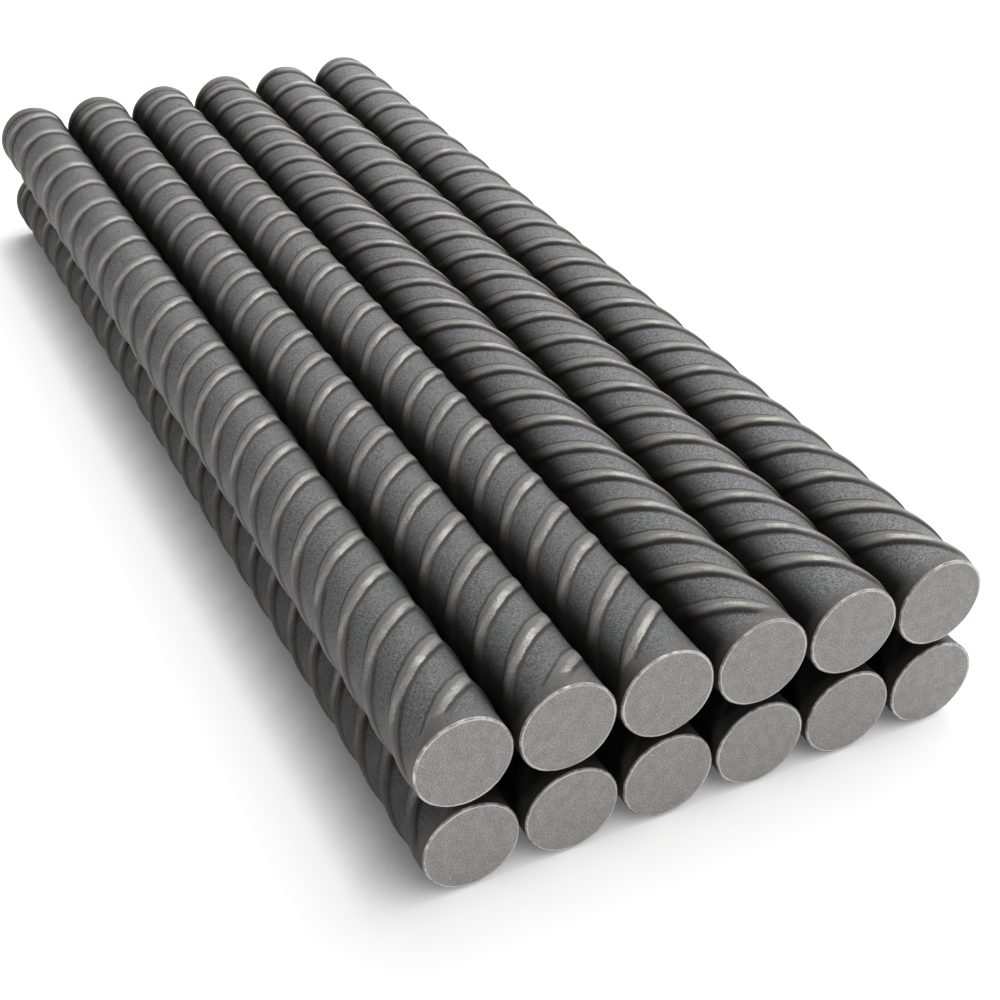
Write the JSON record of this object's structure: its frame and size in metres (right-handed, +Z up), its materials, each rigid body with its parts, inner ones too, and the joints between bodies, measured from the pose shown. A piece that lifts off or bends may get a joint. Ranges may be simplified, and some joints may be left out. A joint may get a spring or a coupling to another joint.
{
  "type": "rebar bundle",
  "caption": "Bundle of straight ribbed steel reinforcing bars of one size, lying side by side in level layers with their cut ends flush.",
  "frame": {"origin": "on the floor under the middle of the bundle", "axes": "+X along the bars, +Y across the layers, +Z up"},
  "size_m": [0.5, 0.197, 0.0648],
  "materials": {
    "bar_steel": "dark grey mill scale, satin, worn to bare steel along the ribs and on the cut ends"
  },
  "bodies": {
    "root": {"lower_bar_1": "bar_steel", "lower_bar_2": "bar_steel", "lower_bar_3": "bar_steel", "lower_bar_4": "bar_steel", "lower_bar_5": "bar_steel", "lower_bar_6": "bar_steel", "upper_bar_1": "bar_steel", "upper_bar_2": "bar_steel", "upper_bar_3": "bar_steel", "upper_bar_4": "bar_steel", "upper_bar_5": "bar_steel", "upper_bar_6": "bar_steel"}
  },
  "joints": []
}
